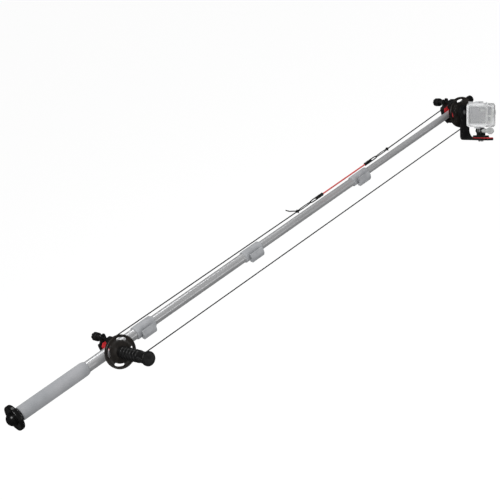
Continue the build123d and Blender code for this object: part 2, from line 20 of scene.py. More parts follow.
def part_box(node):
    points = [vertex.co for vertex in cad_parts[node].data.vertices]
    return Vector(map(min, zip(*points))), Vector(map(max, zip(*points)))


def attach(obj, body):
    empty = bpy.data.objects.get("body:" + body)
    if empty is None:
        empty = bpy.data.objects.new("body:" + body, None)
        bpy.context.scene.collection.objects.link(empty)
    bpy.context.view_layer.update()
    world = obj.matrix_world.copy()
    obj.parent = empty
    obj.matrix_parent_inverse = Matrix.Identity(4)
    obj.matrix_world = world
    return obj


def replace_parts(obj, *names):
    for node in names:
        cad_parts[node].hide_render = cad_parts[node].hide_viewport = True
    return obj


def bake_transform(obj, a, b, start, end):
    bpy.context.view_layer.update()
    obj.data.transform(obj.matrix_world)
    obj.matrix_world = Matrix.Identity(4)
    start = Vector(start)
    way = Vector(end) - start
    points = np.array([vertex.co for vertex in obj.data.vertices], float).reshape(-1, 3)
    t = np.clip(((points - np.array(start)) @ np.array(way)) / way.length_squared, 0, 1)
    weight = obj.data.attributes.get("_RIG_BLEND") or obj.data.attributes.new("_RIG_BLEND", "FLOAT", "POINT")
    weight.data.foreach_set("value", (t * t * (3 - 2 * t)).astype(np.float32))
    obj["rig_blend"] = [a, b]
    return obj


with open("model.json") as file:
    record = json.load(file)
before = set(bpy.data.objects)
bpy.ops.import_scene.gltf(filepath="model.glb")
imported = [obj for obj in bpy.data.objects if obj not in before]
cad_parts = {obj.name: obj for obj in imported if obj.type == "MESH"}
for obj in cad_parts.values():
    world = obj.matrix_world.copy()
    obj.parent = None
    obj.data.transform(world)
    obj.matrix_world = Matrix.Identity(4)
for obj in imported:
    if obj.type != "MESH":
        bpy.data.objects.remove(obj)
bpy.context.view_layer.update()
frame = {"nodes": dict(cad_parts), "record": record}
NODES = frame["nodes"]
RECORD = frame["record"]
BODY_OF = {node: body for body, nodes in RECORD["behaviour"]["bodies"].items() for node in nodes}
SLOT_OF = {part["node"]: part["material_slot"] for part in RECORD["subparts"]}
MM = 0.001

# %% [markdown]
# ## Where things are
#
# Every place comes from the engineering model, so nothing is fitted by eye.  These two helpers give a
# node's box and its middle in millimetres, which are easier to think in than metres.

# %% Measure the frame
def box_mm(node):
    """Lowest and highest corner of a node, in millimetres."""
    low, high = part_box(node)
    return np.array(low) / MM, np.array(high) / MM


def middle(node):
    low, high = box_mm(node)
    return (low + high) / 2


NEAR_X = middle("near_axle")[0]
FAR_X = middle("far_axle")[0]
print("wheel centres at x =", round(NEAR_X, 1), "and", round(FAR_X, 1), "mm")

# %% [markdown]
# ## Surfaces from a grid
#
# Almost every new piece here is one sheet of points: rows run along the piece and columns run round
# it.  A quad joins each four neighbours.  Where a row shrinks to a single point the end closes, and
# where the last column lies on the first the seam closes, because doubled points are merged.

# %% A skin over a grid of points
MERGE = 2e-6
CREASE = 42


def finish_mesh(name, mesh, crease=CREASE):
    """Merge doubled points, turn the faces outwards, shade them smooth up to `crease` degrees."""
    bm = bmesh.new()
    bm.from_mesh(mesh)
    bmesh.ops.remove_doubles(bm, verts=bm.verts, dist=MERGE)
    bmesh.ops.dissolve_degenerate(bm, edges=bm.edges, dist=MERGE / 4)
    bmesh.ops.recalc_face_normals(bm, faces=bm.faces)
    bm.to_mesh(mesh)
    bm.free()
    mesh.shade_smooth()
    mesh.set_sharp_from_angle(angle=radians(crease))
    piece = bpy.data.objects.new(name, mesh)
    bpy.context.scene.collection.objects.link(piece)
    return piece


def skin(name, grid, uv=None, crease=CREASE):
    """A mesh over a (rows, columns, 3) grid in millimetres, one quad between each four neighbours."""
    rows, columns = grid.shape[:2]
    index = np.arange(rows * columns).reshape(rows, columns)
    quads = np.stack([index[:-1, :-1], index[1:, :-1], index[1:, 1:], index[:-1, 1:]], -1).reshape(-1, 4)
    if uv is None:
        uv = np.stack(np.meshgrid(np.linspace(0, 1, columns), np.linspace(0, 1, rows)), -1)
    mesh = bpy.data.meshes.new(name)
    mesh.from_pydata((grid.reshape(-1, 3) * MM).tolist(), [], quads.tolist())
    layer = mesh.uv_layers.new(name="UVMap")
    layer.data.foreach_set("uv", uv.reshape(-1, 2)[quads].astype(np.float32).ravel())
    return finish_mesh(name, mesh, crease)


# %% [markdown]
# ## Outlines with eased corners
#
# Nothing moulded or turned has a knife edge.  An outline is given by its corners alone, and `eased`
# replaces each corner by a short curve, as a tool with a small radius would leave it.

# %% Ease the corners of an outline
def eased(points, radius, steps=4, loop=False):
    """Each corner P is cut back to A and B, `radius` away or 45% of the shorter side, and joined
    by the curve (1-t)^2 A + 2t(1-t) P + t^2 B."""
    p = np.asarray(points, float)
    back, on = np.roll(p, 1, 0) - p, np.roll(p, -1, 0) - p
    back_length = np.linalg.norm(back, axis=1, keepdims=True)
    on_length = np.linalg.norm(on, axis=1, keepdims=True)
    cut = np.minimum(radius, 0.45 * np.minimum(back_length, on_length))
    a, b = p + back / back_length * cut, p + on / on_length * cut
    t = np.linspace(0, 1, steps + 1)[None, :, None]
    curve = (1 - t) ** 2 * a[:, None] + 2 * t * (1 - t) * p[:, None] + t**2 * b[:, None]
    if loop:
        curve = curve.reshape(-1, p.shape[1])
        return np.vstack([curve, curve[:1]])
    return np.vstack([p[:1], curve[1:-1].reshape(-1, p.shape[1]), p[-1:]])


# %% [markdown]
# ## Turned pieces
#
# A lathe shape is a profile of (radius, station) carried round a line.  A `relief` function may then
# push the surface in or out by angle and station, which gives scallops, ribs and crimp marks.

# %% Turn a profile round a line
def turned(name, profile, centre, along, relief=None, around=72, crease=CREASE):
    """centre + station * along + (radius + relief) * (cos(angle) * u + sin(angle) * v)."""
    profile = np.asarray(profile, float)
    along = np.asarray(along, float) / np.linalg.norm(along)
    u = np.cross(along, (0, 0, 1))
    u /= np.linalg.norm(u)
    v = np.cross(along, u)
    angle = np.linspace(0, tau, around + 1)[None, :]
    angle = np.where(angle == tau, 0.0, angle)
    radius, station = profile[:, :1] + 0 * angle, profile[:, 1:] + 0 * angle
    if relief is not None:
        radius = np.where(radius > 0, radius + relief(angle, station, radius), 0)
    ring = np.cos(angle)[..., None] * u + np.sin(angle)[..., None] * v
    grid = np.asarray(centre, float) + station[..., None] * along + radius[..., None] * ring
    return skin(name, grid, crease=crease)


# %% [markdown]
# ## Tubes along a path
#
# Cords, wires and elastic are a round section carried along a path.  `side` is any direction that is
# never along the path; it fixes which way round the section sits, so the strands don't twist oddly.

# %% Carry a section along a path
def evenly(points, step):
    """The same line with points every `step` millimetres."""
    points = np.asarray(points, float)
    run = np.concatenate([[0], np.cumsum(np.linalg.norm(np.diff(points, axis=0), axis=1))])
    at = np.linspace(0, run[-1], max(int(round(run[-1] / step)), 2) + 1)
    return np.stack([np.interp(at, run, points[:, k]) for k in range(3)], -1)


def carried(name, path, side, radius, around=16, joined=False, crease=60):
    """path + radius(angle, distance) * (cos(angle) * n + sin(angle) * b), where n is `side` made
    square to the path.  Open ends close on the path itself."""
    path = np.asarray(path, float)
    tangent = np.gradient(path, axis=0)
    if joined:
        tangent[0] = tangent[-1] = path[1] - path[-2]
    tangent /= np.linalg.norm(tangent, axis=1, keepdims=True)
    side = np.broadcast_to(np.asarray(side, float), path.shape)
    n = side - (side * tangent).sum(1, keepdims=True) * tangent
    n /= np.linalg.norm(n, axis=1, keepdims=True)
    b = np.cross(tangent, n)
    run = np.concatenate([[0], np.cumsum(np.linalg.norm(np.diff(path, axis=0), axis=1))])
    if not joined:
        path = np.vstack([path[:1], path, path[-1:]])
        n, b = np.vstack([n[:1], n, n[-1:]]), np.vstack([b[:1], b, b[-1:]])
        run = np.concatenate([run[:1], run, run[-1:]])
    angle = np.linspace(0, tau, around + 1)[None, :]
    size = radius(np.where(angle == tau, 0.0, angle), run[:, None]) + 0 * run[:, None]
    if not joined:
        size[[0, -1]] = 0
    ring = np.cos(angle)[..., None] * n[:, None] + np.sin(angle)[..., None] * b[:, None]
    grid = path[:, None] + size[..., None] * ring
    uv = np.stack([angle / tau + 0 * run[:, None], run[:, None] + 0 * angle], -1)
    return skin(name, grid, uv, crease)


# %% [markdown]
# ## Softened copies
#
# Clamps, levers and brackets have the right shape already, but their edges are perfectly sharp and
# catch no light.  A copy of the mesh has its loose triangles joined, its flat faces made whole, and
# a Bevel modifier that rounds each edge a little, as a mould or a coat of paint does.

# %% Copy a node with rounded edges
def softened(node, width, angle=38, segments=2):
    mesh = NODES[node].data.copy()
    for layer in [a for a in mesh.attributes if a.name == "custom_normal"]:
        mesh.attributes.remove(layer)
    bm = bmesh.new()
    bm.from_mesh(mesh)
    bmesh.ops.remove_doubles(bm, verts=bm.verts, dist=MERGE)
    bmesh.ops.dissolve_limit(bm, angle_limit=radians(0.7), verts=bm.verts, edges=bm.edges)
    bm.to_mesh(mesh)
    bm.free()
    mesh.shade_smooth()
    mesh.set_sharp_from_angle(angle=radians(angle))
    piece = bpy.data.objects.new(f"{node}_soft", mesh)
    bpy.context.scene.collection.objects.link(piece)
    bevel = piece.modifiers.new("eased edges", "BEVEL")
    bevel.width = width * MM
    bevel.segments = segments
    bevel.limit_method = "ANGLE"
    bevel.angle_limit = radians(angle)
    bevel.harden_normals = True
    return place(piece, node)


# %% [markdown]
# ## Dressing a piece
#
# `place` gives a piece the finish and the body of the node that it stands for, and hides that node.
# A piece on a body moves with it when a joint moves.

# %% Put a piece on its body
FINISH = {}


def dress(piece, slot):
    piece.data.materials.clear()
    piece.data.materials.append(FINISH[slot])
    return piece


def place(piece, node, slot=None):
    dress(piece, slot or SLOT_OF[node])
    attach(piece, BODY_OF[node])
    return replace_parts(piece, node)


# %% [markdown]
# ## Effects that finishes share
#
# A shader node group is a small recipe with named inputs and outputs.  Four are enough here: the
# grain of a moulding, the fine lines of drawn metal, the rubbed marks of handling, and a woven
# sheath.  Each puts out only values that change over the surface, and a material decides what they do.

# %% Helpers for node trees
def add(tree, kind, props=None, **inputs):
    """A node with its settings, and each named input either set or linked."""
    made = tree.nodes.new(kind)
    for key, value in (props or {}).items():
        setattr(made, key, value)
    for key, value in inputs.items():
        join(tree, value, made.inputs[key.replace("_", " ")])
    return made


def join(tree, value, socket):
    if isinstance(value, bpy.types.NodeSocket):
        tree.links.new(value, socket)
    else:
        socket.default_value = value


def sums(tree, operation, *values):
    """A Math node of one operation on its values."""
    made = tree.nodes.new("ShaderNodeMath")
    made.operation = operation
    for value, socket in zip(values, made.inputs):
        join(tree, value, socket)
    return made.outputs[0]


def spread(tree, value, low, high, to_low=0.0, to_high=1.0):
    """low..high stretched to to_low..to_high."""
    made = add(tree, "ShaderNodeMapRange", Value=value, From_Min=low, From_Max=high,
               To_Min=to_low, To_Max=to_high)
    return made.outputs["Result"]


def effect(name, inputs, outputs):
    """An empty group: `inputs` holds each name's default, None for a vector."""
    tree = bpy.data.node_groups.new(name, "ShaderNodeTree")
    for label, value in inputs.items():
        kind = "NodeSocketVector" if value is None else "NodeSocketFloat"
        socket = tree.interface.new_socket(label, in_out="INPUT", socket_type=kind)
        if value is not None:
            socket.default_value = value
    for label in outputs:
        tree.interface.new_socket(label, in_out="OUTPUT", socket_type="NodeSocketFloat")
    return tree, tree.nodes.new("NodeGroupInput").outputs, tree.nodes.new("NodeGroupOutput").inputs


# %% [markdown]
# ### Moulding grain
#
# A spark-eroded mould prints a fine pebbled skin.  Fine noise gives the pebbles, and a second noise,
# thirty times larger, gives the slow drift in tone that plastic and rubber have.

# %% The grain effect
grain, given, out = effect("Moulding grain", {"Vector": None, "Fineness": 1500.0, "Drift": 50.0},
                           ["Height", "Cloud"])
pebbles = add(grain, "ShaderNodeTexNoise", Vector=given["Vector"], Scale=given["Fineness"], Detail=3.0)
clouds = add(grain, "ShaderNodeTexNoise", Vector=given["Vector"], Scale=given["Drift"], Detail=2.0)
grain.links.new(pebbles.outputs["Fac"], out["Height"])
grain.links.new(spread(grain, clouds.outputs["Fac"], 0.35, 0.65), out["Cloud"])

# %% [markdown]
# ### Drawn lines
#
# Tube is pulled through a die, which leaves hair lines along its length.  Noise that is squeezed
# fifty times along X gives them.

# %% The drawn-line effect
drawn, given, out = effect("Drawn lines", {"Vector": None, "Fineness": 1800.0}, ["Line", "Cloud"])
squeezed = add(drawn, "ShaderNodeVectorMath", {"operation": "MULTIPLY"})
drawn.links.new(given["Vector"], squeezed.inputs[0])
squeezed.inputs[1].default_value = (0.02, 1.0, 1.0)
lines = add(drawn, "ShaderNodeTexNoise", Vector=squeezed.outputs[0], Scale=given["Fineness"], Detail=2.0)
bands = add(drawn, "ShaderNodeTexNoise", Vector=squeezed.outputs[0], Scale=140.0, Detail=1.0)
drawn.links.new(spread(drawn, lines.outputs["Fac"], 0.3, 0.7), out["Line"])
drawn.links.new(spread(drawn, bands.outputs["Fac"], 0.35, 0.65), out["Cloud"])

# %% [markdown]
# ### Rubbed marks
#
# Hands and bags polish a matt surface in patches.  The mask is where a broad noise and a scratchy
# one are both high, so the marks gather in places and leave the rest clean.

# %% The rubbed effect
rubbed, given, out = effect("Rubbed marks", {"Vector": None, "Amount": 0.3}, ["Rub"])
patches = add(rubbed, "ShaderNodeTexNoise", Vector=given["Vector"], Scale=38.0, Detail=2.0)
scratches = add(rubbed, "ShaderNodeTexNoise", Vector=given["Vector"], Scale=420.0, Detail=5.0, Distortion=1.2)
both = sums(rubbed, "MULTIPLY", patches.outputs["Fac"], scratches.outputs["Fac"])
rubbed.links.new(sums(rubbed, "MULTIPLY", spread(rubbed, both, 0.25, 0.42), given["Amount"]), out["Rub"])

# %% [markdown]
# ### Woven sheath
#
# A cord's sheath is two sets of strands wound opposite ways.  The piece's own UV map says where we
# are: U goes once round the cord and V is the distance along it in millimetres.  Each set of strands
# is a cosine of the sum or difference of the two, and the higher one is on top.  The second output is
# painted shade: it rises where the strands are low, so a material can darken the gaps between them.

# %% The sheath effect
sheath, given, out = effect("Woven sheath", {"Vector": None, "Strands": 4.0, "Lay": 6.0}, ["Height", "Painted gap shade"])
split = add(sheath, "ShaderNodeSeparateXYZ", Vector=given["Vector"])
turn = sums(sheath, "MULTIPLY", sums(sheath, "MULTIPLY", split.outputs["X"], given["Strands"]), tau)
turns = sums(sheath, "MULTIPLY", sums(sheath, "DIVIDE", split.outputs["Y"], given["Lay"]), given["Strands"])
wind = sums(sheath, "MULTIPLY", turns, tau)
left = sums(sheath, "COSINE", sums(sheath, "ADD", turn, wind))
right = sums(sheath, "COSINE", sums(sheath, "SUBTRACT", turn, wind))
top = sums(sheath, "MAXIMUM", left, right)
sheath.links.new(spread(sheath, top, -1.0, 1.0), out["Height"])
# Painted shade mask: 1 in the gaps between strands, 0 on their crowns.
sheath.links.new(spread(sheath, top, 0.35, -0.4), out["Painted gap shade"])
print("effects:", [g.name for g in bpy.data.node_groups])

# %% [markdown]
# ## Finishes
#
# Each finish is one Principled shader.  Its colour drifts between two close tints, its roughness
# drifts with it, and fine relief goes through a Bump node.  On the woven cords the two tints follow the
# strands instead, and the darker one is painted shade in the gaps.  Values that are the same everywhere
# are set on the shader itself.

# %% A finish from an effect
def finish(slot, tints, rough, group, values, relief=0.02, rub=0.0, uv=False, **shader):
    """tints and rough are (from, to), mixed by the effect's second output; relief is in millimetres."""
    material = bpy.data.materials.new(slot)
    material.use_nodes = True
    tree = material.node_tree
    bsdf = tree.nodes["Principled BSDF"]
    where = tree.nodes.new("ShaderNodeTexCoord").outputs["UV" if uv else "Object"]
    made = add(tree, "ShaderNodeGroup", {"node_tree": group}, Vector=where, **values)
    height, mask = made.outputs[0], made.outputs[1]
    colour = add(tree, "ShaderNodeMix", {"data_type": "RGBA"})
    join(tree, mask, colour.inputs["Factor"])
    colour.inputs[6].default_value, colour.inputs[7].default_value = (*tints[0], 1), (*tints[1], 1)
    shade, roughness = colour.outputs[2], spread(tree, mask, 0.0, 1.0, *rough)
    if rub:
        marks = add(tree, "ShaderNodeGroup", {"node_tree": rubbed}, Vector=where, Amount=rub).outputs["Rub"]
        roughness = sums(tree, "SUBTRACT", roughness, sums(tree, "MULTIPLY", marks, 0.25))
        paler = add(tree, "ShaderNodeMix", {"data_type": "RGBA"})
        join(tree, marks, paler.inputs["Factor"])
        join(tree, shade, paler.inputs[6])
        paler.inputs[7].default_value = (*[min(1.0, c * 1.7 + 0.01) for c in tints[1]], 1)
        shade = paler.outputs[2]
    tree.links.new(shade, bsdf.inputs["Base Color"])
    tree.links.new(roughness, bsdf.inputs["Roughness"])
    bump = add(tree, "ShaderNodeBump", Height=height, Distance=relief * MM, Strength=0.6)
    tree.links.new(bump.outputs["Normal"], bsdf.inputs["Normal"])
    for key, value in shader.items():
        bsdf.inputs[key.replace("_", " ")].default_value = value
    FINISH[slot] = material
    return material


# %% [markdown]
# ### Black mouldings and rubbers
#
# Real black plastic is a very dark grey, and what tells one part from another is its gloss: the butt
# cap is shiny rubber, the wheels are satin with a warm sheen, the clamps are glass-filled nylon with
# a dry texture, and the handle is soft matt rubber.

# %% Blacks
finish("rubber_black", ((0.0045, 0.0045, 0.005), (0.008, 0.0078, 0.008)), (0.36, 0.46), grain,
       {"Fineness": 1700.0, "Drift": 55.0}, relief=0.03, rub=0.2, Specular_IOR_Level=0.5)
finish("butt_gloss", ((0.003, 0.003, 0.003), (0.006, 0.006, 0.006)), (0.20, 0.28), grain,
       {"Fineness": 900.0, "Drift": 40.0}, relief=0.006, rub=0.3, Specular_IOR_Level=0.45)
finish("clamp_black", ((0.005, 0.005, 0.0055), (0.010, 0.0095, 0.0095)), (0.40, 0.52), grain,
       {"Fineness": 2400.0, "Drift": 70.0}, relief=0.025, rub=0.35, Specular_IOR_Level=0.4)
finish("wheel_black", ((0.010, 0.0085, 0.0075), (0.024, 0.020, 0.017)), (0.30, 0.40), grain,
       {"Fineness": 2000.0, "Drift": 45.0}, relief=0.014, rub=0.4, Specular_IOR_Level=0.5)
finish("bracket_black", ((0.004, 0.004, 0.0045), (0.008, 0.008, 0.0085)), (0.32, 0.42), grain,
       {"Fineness": 3200.0, "Drift": 60.0}, relief=0.02, rub=0.35, Specular_IOR_Level=0.5)
finish("lens_black", ((0.012, 0.012, 0.014), (0.022, 0.022, 0.025)), (0.16, 0.22), grain,
       {"Fineness": 2600.0, "Drift": 90.0}, relief=0.006, Specular_IOR_Level=0.5)

# %% [markdown]
# ### Foam, greys and silver
#
# The grip is closed-cell foam: matt, a little cool, pricked with tiny open cells.  The locks are grey
# nylon.  The tubes are drawn and anodised aluminium, so they are only half mirror: the clear oxide
# layer scatters light, and the drawn lines stretch every highlight along the pole.

# %% Foam, greys and silver
finish("foam_grey", ((0.31, 0.32, 0.335), (0.37, 0.375, 0.39)), (0.82, 0.92), grain,
       {"Fineness": 1300.0, "Drift": 24.0}, relief=0.16, Specular_IOR_Level=0.25, Sheen_Weight=0.15)
finish("lock_grey", ((0.35, 0.36, 0.375), (0.42, 0.43, 0.445)), (0.45, 0.56), grain,
       {"Fineness": 2100.0, "Drift": 60.0}, relief=0.03, rub=0.2, Specular_IOR_Level=0.4)
finish("tube_silver", ((0.60, 0.605, 0.615), (0.72, 0.725, 0.735)), (0.30, 0.40), drawn,
       {"Fineness": 1800.0}, relief=0.008, rub=0.15, Metallic=0.55, Anisotropic=0.3)
finish("bush_white", ((0.66, 0.66, 0.63), (0.74, 0.74, 0.71)), (0.45, 0.55), grain,
       {"Fineness": 1500.0, "Drift": 60.0}, relief=0.01)
finish("steel", ((0.46, 0.46, 0.47), (0.60, 0.60, 0.61)), (0.26, 0.36), drawn,
       {"Fineness": 2600.0}, relief=0.006, rub=0.3, Metallic=1.0)
finish("knob_grey", ((0.46, 0.47, 0.465), (0.56, 0.57, 0.565)), (0.36, 0.46), grain,
       {"Fineness": 1800.0, "Drift": 70.0}, relief=0.015, Specular_IOR_Level=0.45)
finish("camera_grey", ((0.20, 0.205, 0.215), (0.25, 0.255, 0.265)), (0.42, 0.52), grain,
       {"Fineness": 2800.0, "Drift": 50.0}, relief=0.018, Specular_IOR_Level=0.4)

# %% [markdown]
# ### Red liners and elastic
#
# The pads that grip the pole are soft red rubber, a saturated matt red.  The elastic's sheath is
# woven, so it uses the sheath effect on its own UV map, with a darker red painted into the gaps
# between the strands as painted shade; the black cord has a darker black painted there the same way.

# %% Reds and cords
finish("pad_red", ((0.70, 0.024, 0.034), (0.80, 0.045, 0.052)), (0.48, 0.6), grain,
       {"Fineness": 1500.0, "Drift": 60.0}, relief=0.02, Specular_IOR_Level=0.35)
# Painted shade: the second, darker red goes into the gaps between the strands, the first onto their crowns.
finish("elastic_red", ((0.72, 0.075, 0.065), (0.42, 0.02, 0.02)), (0.62, 0.75), sheath,
       {"Strands": 6.0, "Lay": 9.0}, relief=0.12, uv=True, Sheen_Weight=0.2)
# Painted shade: the second, darker black goes into the gaps between the strands, the first onto their crowns.
finish("cord_black", ((0.022, 0.022, 0.022), (0.006, 0.006, 0.006)), (0.58, 0.72), sheath,
       {"Strands": 4.0, "Lay": 6.0}, relief=0.08, uv=True, Specular_IOR_Level=0.35)

# %% [markdown]
# ### Clear plastic
#
# The housing is clear polycarbonate.  Light goes through it, but its many edges and a fine haze
# scatter enough to make it look milky white.  Transmission and metallic stay plain numbers on the
# shader, which is what glass needs.

# %% Clear and frosted plastic
finish("case_clear", ((0.94, 0.945, 0.95), (0.97, 0.975, 0.98)), (0.20, 0.26), grain,
       {"Fineness": 900.0, "Drift": 30.0}, relief=0.003, Transmission_Weight=0.80, IOR=1.2)
finish("case_window", ((0.95, 0.96, 0.97), (0.98, 0.985, 0.99)), (0.03, 0.06), grain,
       {"Fineness": 400.0, "Drift": 30.0}, relief=0.001, Transmission_Weight=0.95, IOR=1.45)
finish("case_frost", ((0.60, 0.61, 0.62), (0.68, 0.69, 0.70)), (0.40, 0.50), grain,
       {"Fineness": 1700.0, "Drift": 60.0}, relief=0.012, Specular_IOR_Level=0.45)
print("finishes:", sorted(FINISH))

# %% [markdown]
# ## The cord loop
#
# One loop of thin braided cord runs round both wheels, a little in front of the pole.  It is cut
# here into stretches.  Each stretch lies between two sections of the pole, so when the pole slides
# shut the stretch is blended between the two and shortens, and the half turns ride with the wheels'
# clamps.  The braid is real relief: two sets of strands wound opposite ways push the radius out.

# %% The braid's relief
CORD_R = 1.4
CORD_STRANDS, CORD_LAY = 4, 7.0
CORD_STEP = 0.4
WOVEN_DEPTH = 0.16


def woven(radius, strands, lay, depth=WOVEN_DEPTH):
    """radius * (1 - depth + depth * h), where h is the higher of cos(n(angle + wind)) and
    cos(n(angle - wind)), brought to 0..1, and wind is one turn in each lay length."""
    def size(angle, run):
        wind = tau * run / lay
        over = np.maximum(np.cos(strands * (angle + wind)), np.cos(strands * (angle - wind)))
        return radius * (1 - depth + depth * (over + 1) / 2)
    return size


CORD = woven(CORD_R, CORD_STRANDS, CORD_LAY)

# %% [markdown]
# The upper run dips towards the elastic in its middle, because hooks and elastic weigh more than
# cord.  The lower run is straight.  Both are pulled tight, so their points are simply the two ends.

# %% Stretches and half turns
RING_R = -box_mm("cord_span_1")[0][2] - CORD_R
CORD_Y, TENSION_Z = middle("elastic")[1:]
KNOT_R = 5.0
KNOT_NEAR = box_mm("cord_knots")[0][0] + KNOT_R
KNOT_FAR = box_mm("cord_knots")[1][0] - KNOT_R
UP = (0, 1, 0)


def upper(x):
    """The point of the upper run at station x: level with the wheel's top at the wheel, and
    falling in proportion to the elastic's height at its knot."""
    wheel, knot = (NEAR_X, KNOT_NEAR) if x < (KNOT_NEAR + KNOT_FAR) / 2 else (FAR_X, KNOT_FAR)
    return np.array((x, CORD_Y, RING_R + (TENSION_Z - RING_R) * (x - wheel) / (knot - wheel)))


def lower(x):
    return np.array((x, CORD_Y, -RING_R))


def stretch(name, start, end, bodies, stands_for):
    piece = carried(name, evenly([start, end], CORD_STEP), UP, CORD)
    dress(piece, "cord_black")
    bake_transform(piece, *bodies, start=tuple(start * MM), end=tuple(end * MM))
    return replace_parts(piece, stands_for)


def half_turn(name, centre_x, first_angle, node):
    angle = first_angle + np.linspace(0, np.pi, 40)
    path = np.stack([centre_x + RING_R * np.cos(angle), 0 * angle + CORD_Y, RING_R * np.sin(angle)], -1)
    return place(carried(name, evenly(path, CORD_STEP), UP, CORD), node)


BASE, SECOND, THIRD, FOURTH = "pole_base", "section_2", "section_3", "section_4"
stretch("cord_upper_1", upper(NEAR_X), upper(375), (BASE, SECOND), "cord_span_1")
stretch("cord_upper_2", upper(375), upper(590), (SECOND, THIRD), "cord_span_2")
stretch("cord_upper_3", upper(590), upper(KNOT_NEAR - 2), (THIRD, "tensioner"), "cord_span_3")
stretch("cord_upper_4", upper(KNOT_FAR + 2), upper(1085), ("tensioner", THIRD), "cord_span_3")
stretch("cord_upper_5", upper(1085), upper(FAR_X), (THIRD, FOURTH), "cord_span_4")
stretch("cord_lower_1", lower(NEAR_X), lower(500), (BASE, SECOND), "cord_span_1")
stretch("cord_lower_2", lower(500), lower(860), (SECOND, THIRD), "cord_span_2")
stretch("cord_lower_3", lower(860), lower(FAR_X), (THIRD, FOURTH), "cord_span_4")
half_turn("cord_near_turn", NEAR_X, np.pi / 2, "cord_span_1")
half_turn("cord_far_turn", FAR_X, -np.pi / 2, "cord_span_4")
print("cord from", round(NEAR_X), "to", round(FAR_X), "mm, ring radius", round(RING_R, 1))

# %% [markdown]
# ### The free tail
#
# The first knot leaves a short tail that stands off it in a lazy wave.  It is a free cord, so it
# follows a NURBS spline through a few given points, and the braid is carried along the
# points that Blender gives for that spline.  The cut end is melted into a small bead.

# %% The cord's tail
TAIL_ROUTE = [(700.9, -36.2, 34.9), (694.2, -36.6, 38.9), (687.4, -37.4, 42.1), (680.8, -38.6, 46.6),
              (675.4, -39.6, 52.0)]


def spline_points(name, route):
    """The smooth line that Blender draws for a NURBS spline with these control points."""
    curve = bpy.data.curves.new(name, "CURVE")
    curve.dimensions = "3D"
    spline = curve.splines.new("NURBS")
    spline.points.add(len(route) - 1)
    spline.points.foreach_set("co", np.hstack([np.array(route), np.ones((len(route), 1))]).ravel())
    spline.order_u = 3
    spline.use_endpoint_u = True
    spline.resolution_u = 24
    holder = bpy.data.objects.new(name, curve)
    mesh = bpy.data.meshes.new_from_object(holder)
    points = np.empty(len(mesh.vertices) * 3)
    mesh.vertices.foreach_get("co", points)
    bpy.data.objects.remove(holder)
    bpy.data.curves.remove(curve)
    bpy.data.meshes.remove(mesh)
    return points.reshape(-1, 3)


tail_line = evenly(spline_points("tail_line", TAIL_ROUTE), CORD_STEP / 2)
TAIL_LENGTH = float(np.linalg.norm(np.diff(tail_line, axis=0), axis=1).sum())


def tail_size(angle, run):
    """The braid, swelling over the last millimetre into a melted bead and closing round it."""
    left = np.clip((TAIL_LENGTH - run) / 1.0, 0, 1)
    bead = np.sqrt(np.clip(1 - (1 - left) ** 6, 0.02, 1))
    return CORD(angle, run) * (1 + 0.1 * (1 - left)) * bead


tail = carried("cord_tail_braid", tail_line, UP, tail_size)
place(tail, "cord_tail")
print("tail length", round(TAIL_LENGTH, 1), "mm")

# %% [markdown]
# ### Knots and eyes
#
# The cord ends in a tight knot with an eye beyond it.  A tight overhand knot is a trefoil: a line
# that winds twice round the cord's axis while it winds three times round a ring.  The eye is one
# strand that leaves the knot, spreads, turns round the hook's wire and comes back.

# %% Knots and eyes
ELASTIC_LOW, ELASTIC_HIGH = box_mm("elastic")[0][0], box_mm("elastic")[1][0]
KNOT_RING, KNOT_WIND = 2.1, 1.4
EYE_WIDTH, EYE_R = 5.2, 1.2
EYE_SPREAD, HOOK_SPREAD = np.array((0, 0.5, -0.866)), np.array((0, 0.866, 0.5))


def knot(name, x):
    """Trefoil about X: ring radius + wind * cos(3t) at angle 2t, and x = wind * sin(3t)."""
    t = np.linspace(0, tau, 260)
    t[-1] = 0
    radial = np.stack([0 * t, np.cos(2 * t), np.sin(2 * t)], -1)
    reach = (KNOT_RING + KNOT_WIND * np.cos(3 * t))[:, None]
    path = np.array((x, CORD_Y, TENSION_Z)) + radial * reach
    path[:, 0] += 1.2 * KNOT_WIND * np.sin(3 * t)
    side = radial * np.cos(3 * t)[:, None]
    side[:, 0] = np.sin(3 * t)
    thick = woven(1.4, 4, 7.0, 0.12)
    return place(carried(name, path, side, thick, joined=True), "cord_knots")


def loop_line(x0, x1, width, across, power):
    """A loop from x0 to x1: x moves by sin^2(pi t), and the strands stand off along `across` by
    sin(2 pi t) to a power: 0.5 gives nearly parallel sides, 1 an almond."""
    t = np.linspace(0, 1, 400)
    wave = np.sin(tau * t)
    off = width / 2 * np.sign(wave) * np.abs(wave) ** power
    x = x0 + (x1 - x0) * np.sin(np.pi * t) ** 2
    return np.stack([x, CORD_Y + off * across[1], TENSION_Z + off * across[2]], -1)


HOOK_LENGTH, WIRE_R = 41.0, 1.4
EYE_REACH = HOOK_LENGTH - WIRE_R - EYE_R
for end, x, hook in (("near", KNOT_NEAR, ELASTIC_LOW - EYE_REACH),
                     ("far", KNOT_FAR, ELASTIC_HIGH + EYE_REACH)):
    knot(f"cord_knot_{end}", x)
    line = evenly(loop_line(x, hook, EYE_WIDTH, EYE_SPREAD, 0.8), CORD_STEP)
    place(carried(f"cord_eye_{end}", line, HOOK_SPREAD, woven(EYE_R, 4, 6.2)), "cord_eyes")

# %% [markdown]
# ### Hooks and elastic
#
# Each hook is a loop of black-coated wire crimped into a barrel.  The barrel is turned, with two
# crimp rings and a pinched flat, and the elastic is a thick woven sheath over rubber.

